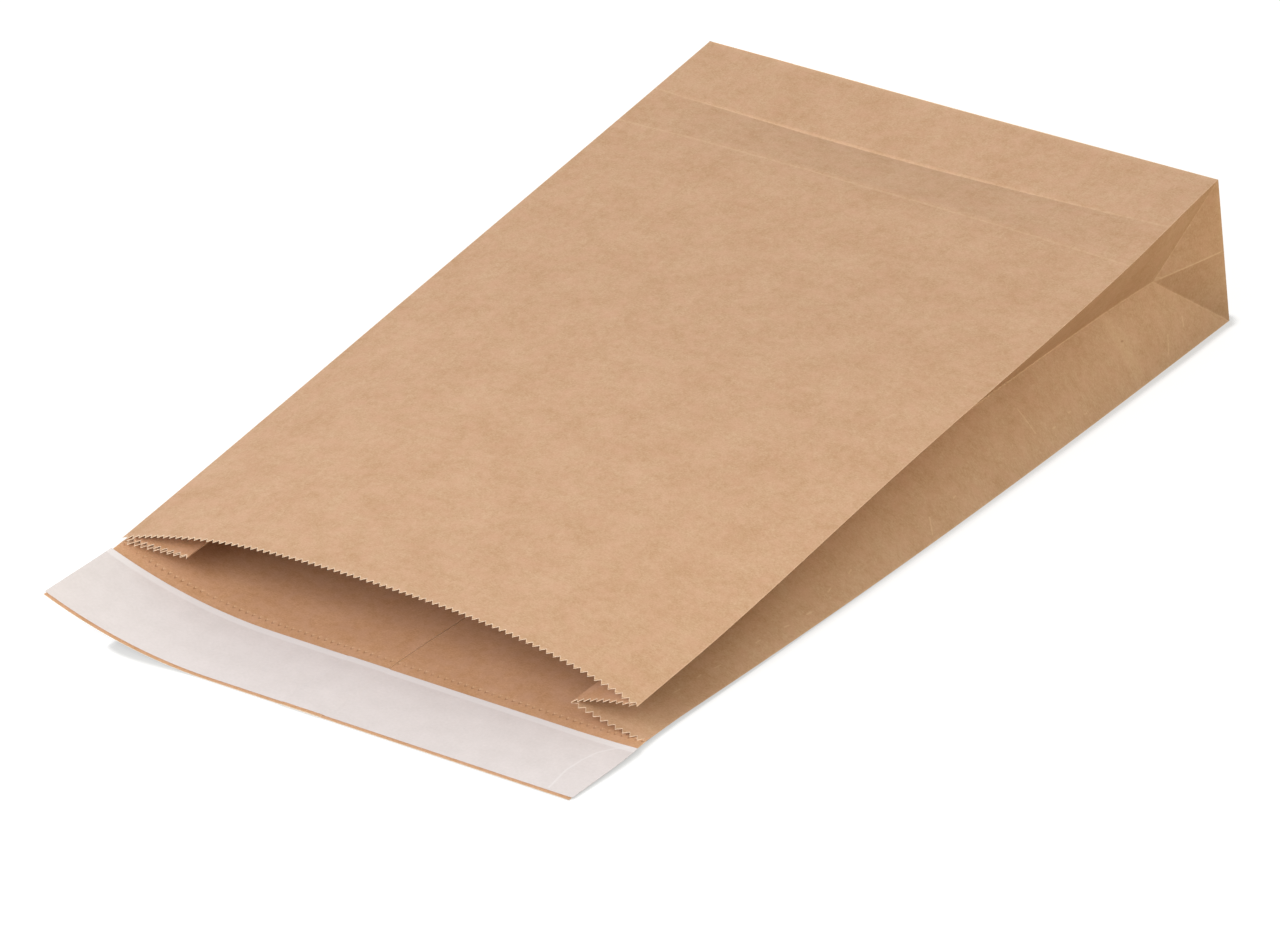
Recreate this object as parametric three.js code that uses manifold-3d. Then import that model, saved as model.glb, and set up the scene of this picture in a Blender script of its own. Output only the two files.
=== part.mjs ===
// Kraft paper sample bag with side gussets, a block bottom and a closing flap.
// It lies on its back panel with its mouth open, +Y towards the block bottom, sizes in mm.

import * as THREE from "three";
import { mergeVertices } from "three/addons/utils/BufferGeometryUtils.js";
import Module from "manifold-3d";

// The flat bag
const bagWidth = 250;
const bagLength = 386; // base fold to the middle of the saw teeth
const gussetDepth = 65;
const flapLength = 48;
const paper = 0.2;
const toothPitch = 3.175;
const toothDepth = 1.9;
const seamWidth = 18;
const seamStep = 1.5; // width over which the paper climbs on to the seam
const bottomOverlap = 20;

// Closing strip on the flap
const stripInset = 6; // knife line to the liner's inner edge
const stripMargin = 1.5; // liner's outer edge to the flap's end
const fingerLift = 2.5; // band of liner with no glue under it
const glueThickness = 0.1;
const linerThickness = 0.1;
const layerClearance = 0.02;

// How the bag stands open
const baseLean = 3.4; // the bottom's upper edge leans this much towards the mouth
const mouthLeftHeight = 15.7;
const mouthRightHeight = 15.1;
const mouthBow = 16.6; // rise of the front panel's middle above its corners
const bowShape = 2.7; // exponent of the arch, 2 is a parabola
const bowGrowth = 1.3; // exponent of the arch's growth from the base to the mouth
const mouthDrift = 3.8; // sideways drift of the open end
const leftGussetGap = 1.8; // the left gusset is almost closed at the mouth
const curlSpan = 80; // width of the back panel that curls up on the left
const curlLength = 185; // length of that curl, ending at the mouth
const rightLift = 1;
const rightLiftSpan = 30;
const flapLift = 1;
const rightSag = 3.2;
const nearCrease = 35.8; // distances of the two cross creases from the base edge
const farCrease = 64.6;
const creaseDip = 3;
const creaseRidge = 0.6;

// Facets
const panelSegments = 28;
const stationSpacing = 26;

// Derived sizes
const gussetHalf = gussetDepth / 2;
const foldGap = 3 * paper;
const foldRadius = 1.5 * paper;
const bottomWall = 2 * paper;
const bottomFlapDepth = gussetHalf + bottomOverlap / 2;
const flapEnd = bagLength + flapLength;
const linerStart = bagLength + stripInset;
const linerEnd = flapEnd - stripMargin;
const glueStart = linerStart + fingerLift;
const glueEnd = linerEnd - stripMargin;
const curlRise = mouthLeftHeight - leftGussetGap;

const wasm = await Module();
wasm.setup();

// Share of the way from the base to the mouth, held at 1 along the flap
function openShare(u) {
  return Math.min(u / bagLength, 1);
}

function mix(a, b, share) {
  return a + (b - a) * share;
}

function driftAt(u) {
  return -mouthDrift * openShare(u) ** 3;
}

// Fractions across a panel: even steps and the four bends of the glued seam
function panelFractions() {
  const fractions = [];
  for (let i = 0; i <= panelSegments; i++) {
    fractions.push(i / panelSegments);
  }
  for (const offset of [seamWidth / 2, seamWidth / 2 + seamStep]) {
    fractions.push(0.5 - offset / bagWidth, 0.5 + offset / bagWidth);
  }
  return fractions.sort((a, b) => a - b).filter((f, i, all) => i === 0 || f - all[i - 1] > 1e-4);
}

// The seam is a second layer of paper along the middle of the back panel
function seamRise(fraction) {
  const beyond = Math.abs(fraction - 0.5) * bagWidth - seamWidth / 2;
  return paper * THREE.MathUtils.clamp(1 - beyond / seamStep, 0, 1);
}

// Outer face of the back panel: flat on the floor, with its left edge curling up at the mouth
function backPoint(fraction, u) {
  const across = (fraction - 0.5) * bagWidth;
  const rise = curlRise * THREE.MathUtils.smoothstep(u, bagLength - curlLength, bagLength);
  const intoCurl = Math.max(0, curlSpan - bagWidth / 2 - across) / curlSpan;
  const pastMouth = Math.max(0, (u - bagLength) / flapLength);
  const lift = rightLift * openShare(u) ** 4 + flapLift * pastMouth;
  const intoLift = Math.max(0, across - bagWidth / 2 + rightLiftSpan) / rightLiftSpan;
  const pulledIn = (2 * rise ** 2 * intoCurl ** 3) / (3 * curlSpan);
  const x = across + pulledIn + driftAt(u);
  const z = rise * intoCurl ** 2 + lift * intoLift ** 2;
  return new THREE.Vector2(x, z);
}

// Height that the two cross creases add to the middle of the front panel
function creaseHeight(u) {
  const dip = u < nearCrease ? u / nearCrease : (farCrease - u) / (farCrease - nearCrease);
  const beforeRidge = (u - nearCrease) / (farCrease - nearCrease);
  const afterRidge = 1 - (u - farCrease) / farCrease;
  const ridge = Math.max(0, Math.min(beforeRidge, afterRidge));
  return creaseRidge * ridge - creaseDip * Math.max(0, dip);
}

// Outer face of the front panel: its corners come down to the mouth and its middle arches up.
// The arch pulls the side edges in, because the paper keeps its width.
function frontPoint(fraction, u) {
  const share = openShare(u);
  const arch = mouthBow * share ** bowGrowth;
  const chord = bagWidth - (2 * arch ** 2 * bowShape ** 2) / ((2 * bowShape - 1) * bagWidth);
  const sagShare = THREE.MathUtils.clamp((u - farCrease) / (bagLength - farCrease), 0, 1);
  const left = mix(gussetDepth, mouthLeftHeight, share);
  const right = mix(gussetDepth, mouthRightHeight, share) - rightSag * Math.sin(Math.PI * sagShare);
  const side = Math.abs(2 * fraction - 1);
  const x = (fraction - 0.5) * chord + driftAt(u);
  const bow = arch * (1 - side ** bowShape);
  const crease = creaseHeight(u) * (1 - side ** 2);
  return new THREE.Vector2(x, mix(left, right, fraction) + bow + crease);
}

// The gusset's inward fold lies half a gusset from both side edges. Below the bottom's
// triangle the fold splits in two, which run to the corners of the bottom.
function gussetFold(fraction, u) {
  const inward = fraction === 0 ? 1 : -1;
  const top = frontPoint(fraction, Math.max(u, gussetHalf));
  const bottom = backPoint(fraction, Math.max(u, gussetHalf));
  const halfHeight = top.distanceTo(bottom) / 2;
  const depth = Math.sqrt(Math.max(gussetHalf ** 2 - halfHeight ** 2, 0));
  const middle = top.clone().add(bottom).multiplyScalar(0.5);
  middle.x += inward * depth;
  const upper = new THREE.Vector2(middle.x, middle.y + foldGap / 2);
  const lower = new THREE.Vector2(middle.x, middle.y - foldGap / 2);
  const share = Math.min(u / gussetHalf, 1);
  return {
    upper: frontPoint(fraction, 0).lerp(upper, share),
    lower: backPoint(fraction, 0).lerp(lower, share),
  };
}

// One closed cross section, seen from the mouth and running anticlockwise:
// back panel, right gusset, front panel, left gusset
function section(u) {
  const fractions = panelFractions();
  const right = gussetFold(1, u);
  const left = gussetFold(0, u);
  const back = fractions.map((f) => backPoint(f, u));
  const front = fractions.map((f) => frontPoint(f, u)).reverse();
  return [...back, right.lower, right.upper, ...front, left.upper, left.lower];
}

// The same section moved inwards by the paper, and by the seam's second layer where it lies
function innerSection(u) {
  const outline = section(u);
  const rises = panelFractions().map(seamRise);
  return outline.map((point, i) => {
    const before = outline[(i + outline.length - 1) % outline.length];
    const after = outline[(i + 1) % outline.length];
    const a = point.clone().sub(before).normalize();
    const b = after.clone().sub(point).normalize();
    const normalSum = new THREE.Vector2(-a.y - b.y, a.x + b.x);
    const thickness = paper + (rises[i] ?? 0);
    return point.clone().addScaledVector(normalSum, thickness / (1 + a.dot(b)));
  });
}

// A section stands in a plane that leans with the bottom and is upright at the mouth
function toSpace(point, u) {
  const lean = baseLean * (point.y / gussetDepth) * (1 - openShare(u));
  return new THREE.Vector3(point.x, -u - lean, point.y);
}

// Distances from the base at which sections are taken, with one at every bend
function stationsBetween(from, to) {
  const bends = [gussetHalf, nearCrease, farCrease, bagLength - curlLength, bagLength];
  const strip = [linerStart, glueStart, glueEnd, linerEnd];
  const marks = [from, ...[...bends, ...strip].filter((u) => u > from && u < to), to];
  marks.sort((a, b) => a - b);
  const stations = [marks[0]];
  for (let i = 1; i < marks.length; i++) {
    const steps = Math.ceil((marks[i] - marks[i - 1]) / stationSpacing);
    for (let step = 1; step <= steps; step++) {
      stations.push(mix(marks[i - 1], marks[i], step / steps));
    }
  }
  return stations;
}

function closedGeometry(points, faces) {
  const raw = new THREE.BufferGeometry().setFromPoints(points);
  raw.setIndex(faces.flat());
  const merged = mergeVertices(raw, 1e-4);
  const index = merged.index.array;
  const kept = [];
  for (let i = 0; i < index.length; i += 3) {
    const [a, b, c] = index.slice(i, i + 3);
    if (a !== b && b !== c && c !== a) {
      kept.push(a, b, c);
    }
  }
  merged.setIndex(kept);
  return merged;
}

function addQuad(faces, a, b, c, d) {
  faces.push([a, b, c], [a, c, d]);
}

// Two faces of one layer of paper, split along the same diagonal so that they stay apart
function addQuadPair(faces, corners, innerStart) {
  const [a, b, c, d] = corners;
  const [innerA, innerB, innerC, innerD] = corners.map((corner) => corner + innerStart);
  addQuad(faces, a, b, c, d);
  addQuad(faces, innerA, innerD, innerC, innerB);
}

// Triangles that close the section at the bottom, as seen from the mouth
function bottomFaces(first, panelCount) {
  const back = (i) => first + i;
  const front = (i) => first + 2 * panelCount + 1 - i;
  const last = panelCount - 1;
  const rightLower = first + panelCount;
  const leftUpper = first + 2 * panelCount + 2;
  const faces = [];
  for (let i = 1; i < last - 1; i++) {
    addQuad(faces, back(i), back(i + 1), front(i + 1), front(i));
  }
  faces.push([back(last - 1), back(last), rightLower]);
  addQuad(faces, back(last - 1), rightLower, rightLower + 1, front(last - 1));
  faces.push([front(last - 1), rightLower + 1, front(last)]);
  faces.push([front(1), front(0), leftUpper]);
  addQuad(faces, front(1), leftUpper, leftUpper + 1, back(1));
  faces.push([back(1), leftUpper + 1, back(0)]);
  return faces;
}

// The tube of paper with its closed bottom, lofted on to the flap's end and open there
function tubeGeometry() {
  const stations = stationsBetween(0, flapEnd);
  const ringSize = section(0).length;
  const points = [];
  const faces = [];
  for (const u of stations) {
    points.push(...section(u).map((p) => toSpace(p, u)));
  }
  for (const u of stations.map((station) => Math.max(station, bottomWall))) {
    points.push(...innerSection(u).map((p) => toSpace(p, u)));
  }
  const innerStart = stations.length * ringSize;
  for (let row = 0; row < stations.length - 1; row++) {
    for (let i = 0; i < ringSize; i++) {
      const a = row * ringSize + i;
      const b = row * ringSize + ((i + 1) % ringSize);
      addQuadPair(faces, [a, b, b + ringSize, a + ringSize], innerStart);
    }
  }
  const rim = (stations.length - 1) * ringSize;
  for (let i = 0; i < ringSize; i++) {
    const next = (i + 1) % ringSize;
    addQuad(faces, rim + i, rim + next, innerStart + rim + next, innerStart + rim + i);
  }
  const panelCount = panelFractions().length;
  for (const [a, b, c] of bottomFaces(0, panelCount)) {
    faces.push([c, b, a]);
  }
  faces.push(...bottomFaces(innerStart, panelCount));
  return closedGeometry(points, faces);
}

// Points across the back panel. Spread adds one more on each side, beyond the side edges.
function backRow(u, spread) {
  const row = panelFractions().map((f) => ({ at: backPoint(f, u), seam: seamRise(f) }));
  if (spread === 0) {
    return row;
  }
  const beyond = (edge, distance) => ({ at: edge.at.clone().add(new THREE.Vector2(distance, 0)), seam: 0 });
  return [beyond(row[0], -spread), ...row, beyond(row[row.length - 1], spread)];
}

// A layer over the back panel, between two distances from the base. Low and high give the
// heights of its faces from the panel's outer face and the rise of the seam there.
function layerGeometry(from, to, low, high, spread = 0) {
  const rows = stationsBetween(from, to).map((u) => ({ u, places: backRow(u, spread) }));
  const columns = rows[0].places.length;
  const points = [];
  for (const height of [low, high]) {
    for (const { u, places } of rows) {
      for (const { at, seam } of places) {
        points.push(new THREE.Vector3(at.x, -u, height(at.y, seam)));
      }
    }
  }
  const count = rows.length * columns;
  const faces = [];
  for (let row = 0; row < rows.length - 1; row++) {
    for (let i = 0; i < columns - 1; i++) {
      const a = row * columns + i;
      addQuadPair(faces, [a, a + 1, a + columns + 1, a + columns], count);
    }
    const left = row * columns;
    const right = left + columns - 1;
    addQuad(faces, left, left + columns, count + left + columns, count + left);
    addQuad(faces, right + columns, right, count + right, count + right + columns);
  }
  const end = count - columns;
  for (let i = 0; i < columns - 1; i++) {
    addQuad(faces, i + 1, i, count + i, count + i + 1);
    addQuad(faces, end + i, end + i + 1, count + end + i + 1, count + end + i);
  }
  return closedGeometry(points, faces);
}

function toManifold(geometry) {
  const bare = geometry.clone();
  bare.deleteAttribute("normal");
  bare.deleteAttribute("uv");
  const merged = mergeVertices(bare, 1e-5);
  const mesh = new wasm.Mesh({
    numProp: 3,
    vertProperties: new Float32Array(merged.attributes.position.array),
    triVerts: new Uint32Array(merged.index.array),
  });
  return new wasm.Manifold(mesh);
}

function toGeometry(solid) {
  const mesh = solid.getMesh();
  const geometry = new THREE.BufferGeometry();
  geometry.setAttribute("position", new THREE.BufferAttribute(mesh.vertProperties, 3));
  geometry.setIndex(new THREE.BufferAttribute(mesh.triVerts, 1));
  geometry.computeVertexNormals();
  return geometry;
}

// The saw knife removes all that lies above the back panel beyond a zigzag line
function sawKnife() {
  const reach = bagWidth / 2 + 4 * toothPitch;
  const outline = new THREE.Shape();
  outline.moveTo(-reach, -flapEnd - toothPitch);
  outline.lineTo(reach, -flapEnd - toothPitch);
  const halfPitches = Math.ceil((2 * reach) / (toothPitch / 2));
  for (let i = 0; i <= halfPitches; i++) {
    const side = i % 2 === 0 ? 1 : -1;
    outline.lineTo(reach - (i * toothPitch) / 2, -bagLength + (side * toothDepth) / 2);
  }
  outline.closePath();
  const height = 2 * gussetDepth;
  const prism = new THREE.ExtrudeGeometry(outline, { depth: height, bevelEnabled: false });
  prism.translate(0, 0, -gussetDepth);
  const coverTop = (z, seam) => z + paper + seam + layerClearance;
  const coverBottom = () => -gussetDepth - 1;
  const coverStart = bagLength - toothPitch;
  const coverEnd = flapEnd + 2 * toothPitch;
  const backCover = layerGeometry(coverStart, coverEnd, coverBottom, coverTop, reach);
  return toManifold(prism).subtract(toManifold(backCover));
}

// One of the bottom's two long flaps: a trapezoid with 45 degree ends, folded from a long edge.
// The flap from the front panel is glued on top of the flap from the back panel.
function bottomFlap(fromFront) {
  const outward = fromFront ? 2 * paper : paper;
  const foldLine = fromFront ? gussetDepth - foldRadius : foldRadius;
  const freeEdge = fromFront ? gussetDepth - bottomFlapDepth : bottomFlapDepth;
  const longSide = bagWidth / 2 - foldRadius;
  const shortSide = bagWidth / 2 - bottomFlapDepth;
  const outline = new THREE.Shape();
  outline.moveTo(-longSide, foldLine);
  outline.lineTo(longSide, foldLine);
  outline.lineTo(shortSide, freeEdge);
  outline.lineTo(-shortSide, freeEdge);
  outline.closePath();
  const sunk = paper / 2;
  const geometry = new THREE.ExtrudeGeometry(outline, { depth: outward + sunk, bevelEnabled: false });
  geometry.rotateX(Math.PI / 2);
  geometry.translate(0, outward, 0);
  const leaning = new THREE.Matrix4().makeShear(0, 0, 0, 0, 0, -baseLean / gussetDepth);
  geometry.applyMatrix4(leaning);
  return toManifold(geometry);
}

function paperBag() {
  const tube = toManifold(tubeGeometry()).subtract(sawKnife());
  const whole = tube.add(bottomFlap(false)).add(bottomFlap(true));
  return toGeometry(whole);
}

// The glue lies on the flap's inner face, and the liner lies on the glue
function adhesiveStrip() {
  const bottom = paper + layerClearance;
  const low = (z, seam) => z + seam + bottom;
  const high = (z, seam) => z + seam + bottom + glueThickness;
  return layerGeometry(glueStart, glueEnd, low, high);
}

function releaseLiner() {
  const bottom = paper + glueThickness + 2 * layerClearance;
  const low = (z, seam) => z + seam + bottom;
  const high = (z, seam) => z + seam + bottom + linerThickness;
  return layerGeometry(linerStart, linerEnd, low, high);
}

function namedMesh(name, geometry, color, roughness) {
  const material = new THREE.MeshStandardMaterial({ color, roughness, metalness: 0 });
  const mesh = new THREE.Mesh(geometry, material);
  mesh.name = name;
  return mesh;
}

const bag = new THREE.Group();
bag.add(namedMesh("paper_bag", paperBag(), 0xcfa685, 0.85));
bag.add(namedMesh("adhesive_strip", adhesiveStrip(), 0xe6dcc0, 0.35));
bag.add(namedMesh("release_liner", releaseLiner(), 0xe2dad8, 0.5));

// The origin is the middle of the box that the bag fills, on the floor
const box = new THREE.Box3().setFromObject(bag);
const centre = box.getCenter(new THREE.Vector3());
bag.position.set(-centre.x, -centre.y, -box.min.z);

export default bag;
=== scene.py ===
import math

import bmesh
import bpy
from bpy.props import FloatProperty, FloatVectorProperty, IntProperty, PointerProperty
from mathutils import Matrix, Vector, noise


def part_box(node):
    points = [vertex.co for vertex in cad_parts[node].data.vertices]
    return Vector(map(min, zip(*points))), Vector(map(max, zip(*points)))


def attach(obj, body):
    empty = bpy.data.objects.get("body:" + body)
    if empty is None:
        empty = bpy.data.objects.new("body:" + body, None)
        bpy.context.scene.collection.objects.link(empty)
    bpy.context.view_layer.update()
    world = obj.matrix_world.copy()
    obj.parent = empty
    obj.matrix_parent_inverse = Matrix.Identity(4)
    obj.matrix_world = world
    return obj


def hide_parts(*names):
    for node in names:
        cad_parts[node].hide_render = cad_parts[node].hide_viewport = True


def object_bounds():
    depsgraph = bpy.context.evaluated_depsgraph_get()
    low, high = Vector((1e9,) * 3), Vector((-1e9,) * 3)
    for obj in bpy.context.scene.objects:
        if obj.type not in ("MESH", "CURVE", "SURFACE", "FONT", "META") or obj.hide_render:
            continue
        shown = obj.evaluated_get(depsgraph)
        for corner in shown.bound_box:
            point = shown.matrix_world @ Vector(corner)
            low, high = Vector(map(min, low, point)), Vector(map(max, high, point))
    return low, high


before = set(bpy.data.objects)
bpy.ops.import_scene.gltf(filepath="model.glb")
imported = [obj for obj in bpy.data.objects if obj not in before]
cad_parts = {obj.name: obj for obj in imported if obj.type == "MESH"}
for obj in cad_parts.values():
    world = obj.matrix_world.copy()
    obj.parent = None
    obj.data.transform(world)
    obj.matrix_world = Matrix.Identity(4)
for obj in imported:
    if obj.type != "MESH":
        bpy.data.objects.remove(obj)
cad_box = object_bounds()

bl_info = {
    "name": "Paper Sample Bag",
    "version": (1, 0, 0),
    "blender": (4, 5, 0),
    "location": "3D View > Sidebar > Sample Bag",
    "description": "Dresses a gusseted kraft paper sample bag and its closing flap",
    "category": "Add Mesh",
}

MM = 0.001


def length(name, description, millimetres):
    """A length that a user can change, kept in metres."""
    return FloatProperty(name=name, description=description, default=millimetres * MM, unit="LENGTH", precision=5)


def number(name, description, value):
    """A plain number that a user can change."""
    return FloatProperty(name=name, description=description, default=value)


def linear(hex_colour):
    """An sRGB hex colour as linear red, green and blue."""
    parts = [int(hex_colour[i:i + 2], 16) / 255 for i in (0, 2, 4)]
    return tuple(c / 12.92 if c <= 0.04045 else ((c + 0.055) / 1.055) ** 2.4 for c in parts)


def colour(name, description, hex_colour):
    """A colour that a user can change."""
    return FloatVectorProperty(
        name=name, description=description, default=linear(hex_colour), subtype="COLOR", size=3, min=0, max=1)


class PatternSizes(bpy.types.PropertyGroup):
    """The flat bag"""
    width: length("Width", "Width of the flat bag", 250)
    bag_length: length("Length", "Base fold to the middle of the saw teeth", 386)
    gusset: length("Gusset", "Full width of each side gusset", 65)
    flap: length("Flap", "Length of the closing flap", 47)
    paper: length("Paper", "Thickness of the paper", 0.2)
    tooth_depth: length("Tooth depth", "Depth of the knife's saw teeth", 2.3)
    teeth: IntProperty(name="Teeth", description="Saw teeth across the front panel", default=79, min=8)
    seam: length("Seam", "Width of the glued lap along the back", 18)
    seam_step: length("Seam step", "Width over which the paper climbs on to the seam", 1.5)
    bottom_overlap: length("Bottom overlap", "Overlap of the two bottom flaps", 20)


class StripSizes(bpy.types.PropertyGroup):
    """The closing strip on the flap"""
    inset: length("Inset", "Knife line to the liner's inner edge", 6)
    margin: length("Margin", "Liner's outer edge to the flap's end", 1.5)
    finger_lift: length("Finger lift", "Band of liner with no glue under it", 3.2)
    layer: length("Layer", "Thickness of the glue and of the liner", 0.1)
    overhang: length("Overhang", "Liner past each side of the flap", 0.5)
    clearance: length("Clearance", "Air between two layers", 0.02)


class StanceSizes(bpy.types.PropertyGroup):
    """How the bag stands open"""
    base_lean: length("Base lean", "The bottom's upper edge leans this much towards the mouth", 3.4)
    right_lean: length("Right lean", "Extra lean on the right", 1.1)
    back_bulge: length("Back bulge", "The back panel's sideways bow halfway along", 2.4)
    set_back: length("Set back", "Room between the flap's end and the CAD box", 1)
    flap_sway: length("Flap sway", "The flap's drop on the left and shift to the right, against those measured", 1)
    mouth_left: length("Mouth left", "Height of the mouth's left corner", 15.7)
    mouth_right: length("Mouth right", "Height of the mouth's right corner", 15.1)
    bow: length("Bow", "Rise of the front panel's middle above its corners", 16.6)
    bow_shape: number("Bow shape", "Exponent of the arch, 2 is a parabola", 2.7)
    bow_growth: number("Bow growth", "Exponent of the arch's growth to the mouth", 1.3)
    drift: length("Drift", "Sideways drift of the open end", 3.8)
    left_gap: length("Left gap", "Height of the left gusset at the mouth", 0.35)
    curl_span: length("Curl span", "Width of the back panel that curls up on the left", 80)
    curl_length: length("Curl length", "Length of that curl", 185)
    right_lift: length("Right lift", "Lift of the back panel's right edge", 1)
    right_lift_span: length("Right lift span", "Width of that lift", 30)
    edge_sway: length("Edge sway", "Height of the long waves in the front panel's side edges", 1)
    left_fold_lift: length("Left fold lift", "Lift of the left gusset's fold at the mouth", 1.5)
    upper_bow: length("Upper bow", "Bow of the right gusset's upper layer at the mouth", 1.2)
    lower_bow: length("Lower bow", "Bow of the gussets' lower layers, against the one measured", 1)
    near_crease: length("Near crease", "First cross crease from the base", 35.8)
    far_crease: length("Far crease", "Second cross crease from the base", 64.6)
    crease_slant: length("Crease slant", "The first crease lies this much further from the base on the left", 3)
    crease_bite: length("Crease bite", "Depth of the sharp bend at each crease", 0.5)
    crease_dip: length("Crease dip", "Depth of the dip at the first crease", 3)
    crease_ridge: length("Crease ridge", "Height of the ridge at the second crease", 0.6)
    knuckle: length("Knuckle", "Ridge along the middle of each bottom triangle", 3)
    waviness: length("Waviness", "Height of the panel's gentle waves", 0.35)


class FinishColours(bpy.types.PropertyGroup):
    """Colours of the papers and the glue"""
    kraft: colour("Kraft", "Brown kraft paper", "C1A083")
    kraft_dark: colour("Kraft clouds", "Darker clouds in the kraft paper", "AD8664")
    kraft_red: colour("Kraft blush", "Redder patches in the kraft paper", "C39980")
    kraft_inner: colour("Kraft inside", "Kraft paper's rougher inner face", "C89D7C")
    kraft_inner_dark: colour("Inside clouds", "Darker clouds on the inner face", "B1845C")
    # Dark fibres, also the colour of the painted shade in the knife's dented row.
    kraft_fibre: colour("Kraft fibres", "Single dark fibres and the knife's dents", "8C5F3F")
    # Pale rubbed kraft, also the colour of painted highlights on folds, wrinkles, a gusset crease, the cut and the
    # knife's dented row.
    kraft_worn: colour("Worn kraft", "Kraft paper along folds and creases", "DDBF9E")
    # Pale cut fibre ends, also the colour of a painted highlight along the knife's cut.
    kraft_cut: colour("Cut kraft", "Fibre ends along the knife's cut", "EBDAC6")
    liner: colour("Liner", "Siliconised liner over the glue", "D8D1D3")
    liner_grey: colour("Liner clouds", "Greyer clouds in the liner", "CAC3C4")
    liner_edge: colour("Liner edge", "Liner where no glue lies under it", "E0DCDF")
    glue: colour("Glue", "Hot-melt adhesive", "C9B98C")
    glue_dark: colour("Glue ripples", "Thicker ripples in the adhesive", "B9A26E")


class StudioSettings(bpy.types.PropertyGroup):
    """Light and camera"""
    sky: number("Sky", "Strength of the white surroundings", 0.565)
    side: number("Side", "Extra strength of the surroundings on the right", 1.05)
    side_tint: colour("Side tint", "Colour of that extra light", "FFF5CF")
    bounce: number("Bounce", "Strength of the light that comes back from below", 0.7)
    bounce_tint: colour("Bounce tint", "Colour of the light that comes back from below", "FFE2B8")
    key: number("Key", "Power of the large light towards the mouth, in watts", 28)
    floor: colour("Floor", "The floor's own surface", "7C7C7C")
    floor_glow: number("Floor glow", "Light that the backlit floor gives", 0.86)
    shadow: number("Shadow", "Depth of the shadow that the floor's glow shows beside the bag", 3.0)
    shadow_width: length("Shadow width", "Reach of the floor's shadow", 5.5)
    flag_reach: length("Flag reach", "How far the dark flag under the bag goes past it", 25)


def mix(a, b, share):
    return a + (b - a) * share


def clamp(value, low=0.0, high=1.0):
    return min(max(value, low), high)


def smoothstep(value, low, high):
    share = clamp((value - low) / (high - low))
    return share * share * (3 - 2 * share)


def eased(stops, place):
    """A smooth run through (place, value) stops, level at each."""
    for (start, first), (end, last) in zip(stops, stops[1:]):
        if place <= end:
            return mix(first, last, smoothstep(place, start, end))
    return stops[-1][1]


# Bow of the gussets' lower layers: distance from the base and height of the bow, in mm.
LOWER_BOW = ((0, 0), (40, 2), (270, 1.8), (386, -0.9))

# The front's edges against straight lines from base to mouth: distance from the base and height, in mm.
LEFT_EDGE = ((0, -0.2), (230, 0.8), (386, 0.5))
RIGHT_EDGE = ((0, 0), (70, -1.65), (225, 1), (340, -0.65), (386, 0))

# The flap beyond the mouth: distance from the base, and drop of its left edge or shift of its right edge, in mm.
FLAP_DROP = ((378, 0), (394, 1.5), (434, 1.1))
FLAP_SHIFT = ((360, 0), (404, 1.6), (434, 0.8))


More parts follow.
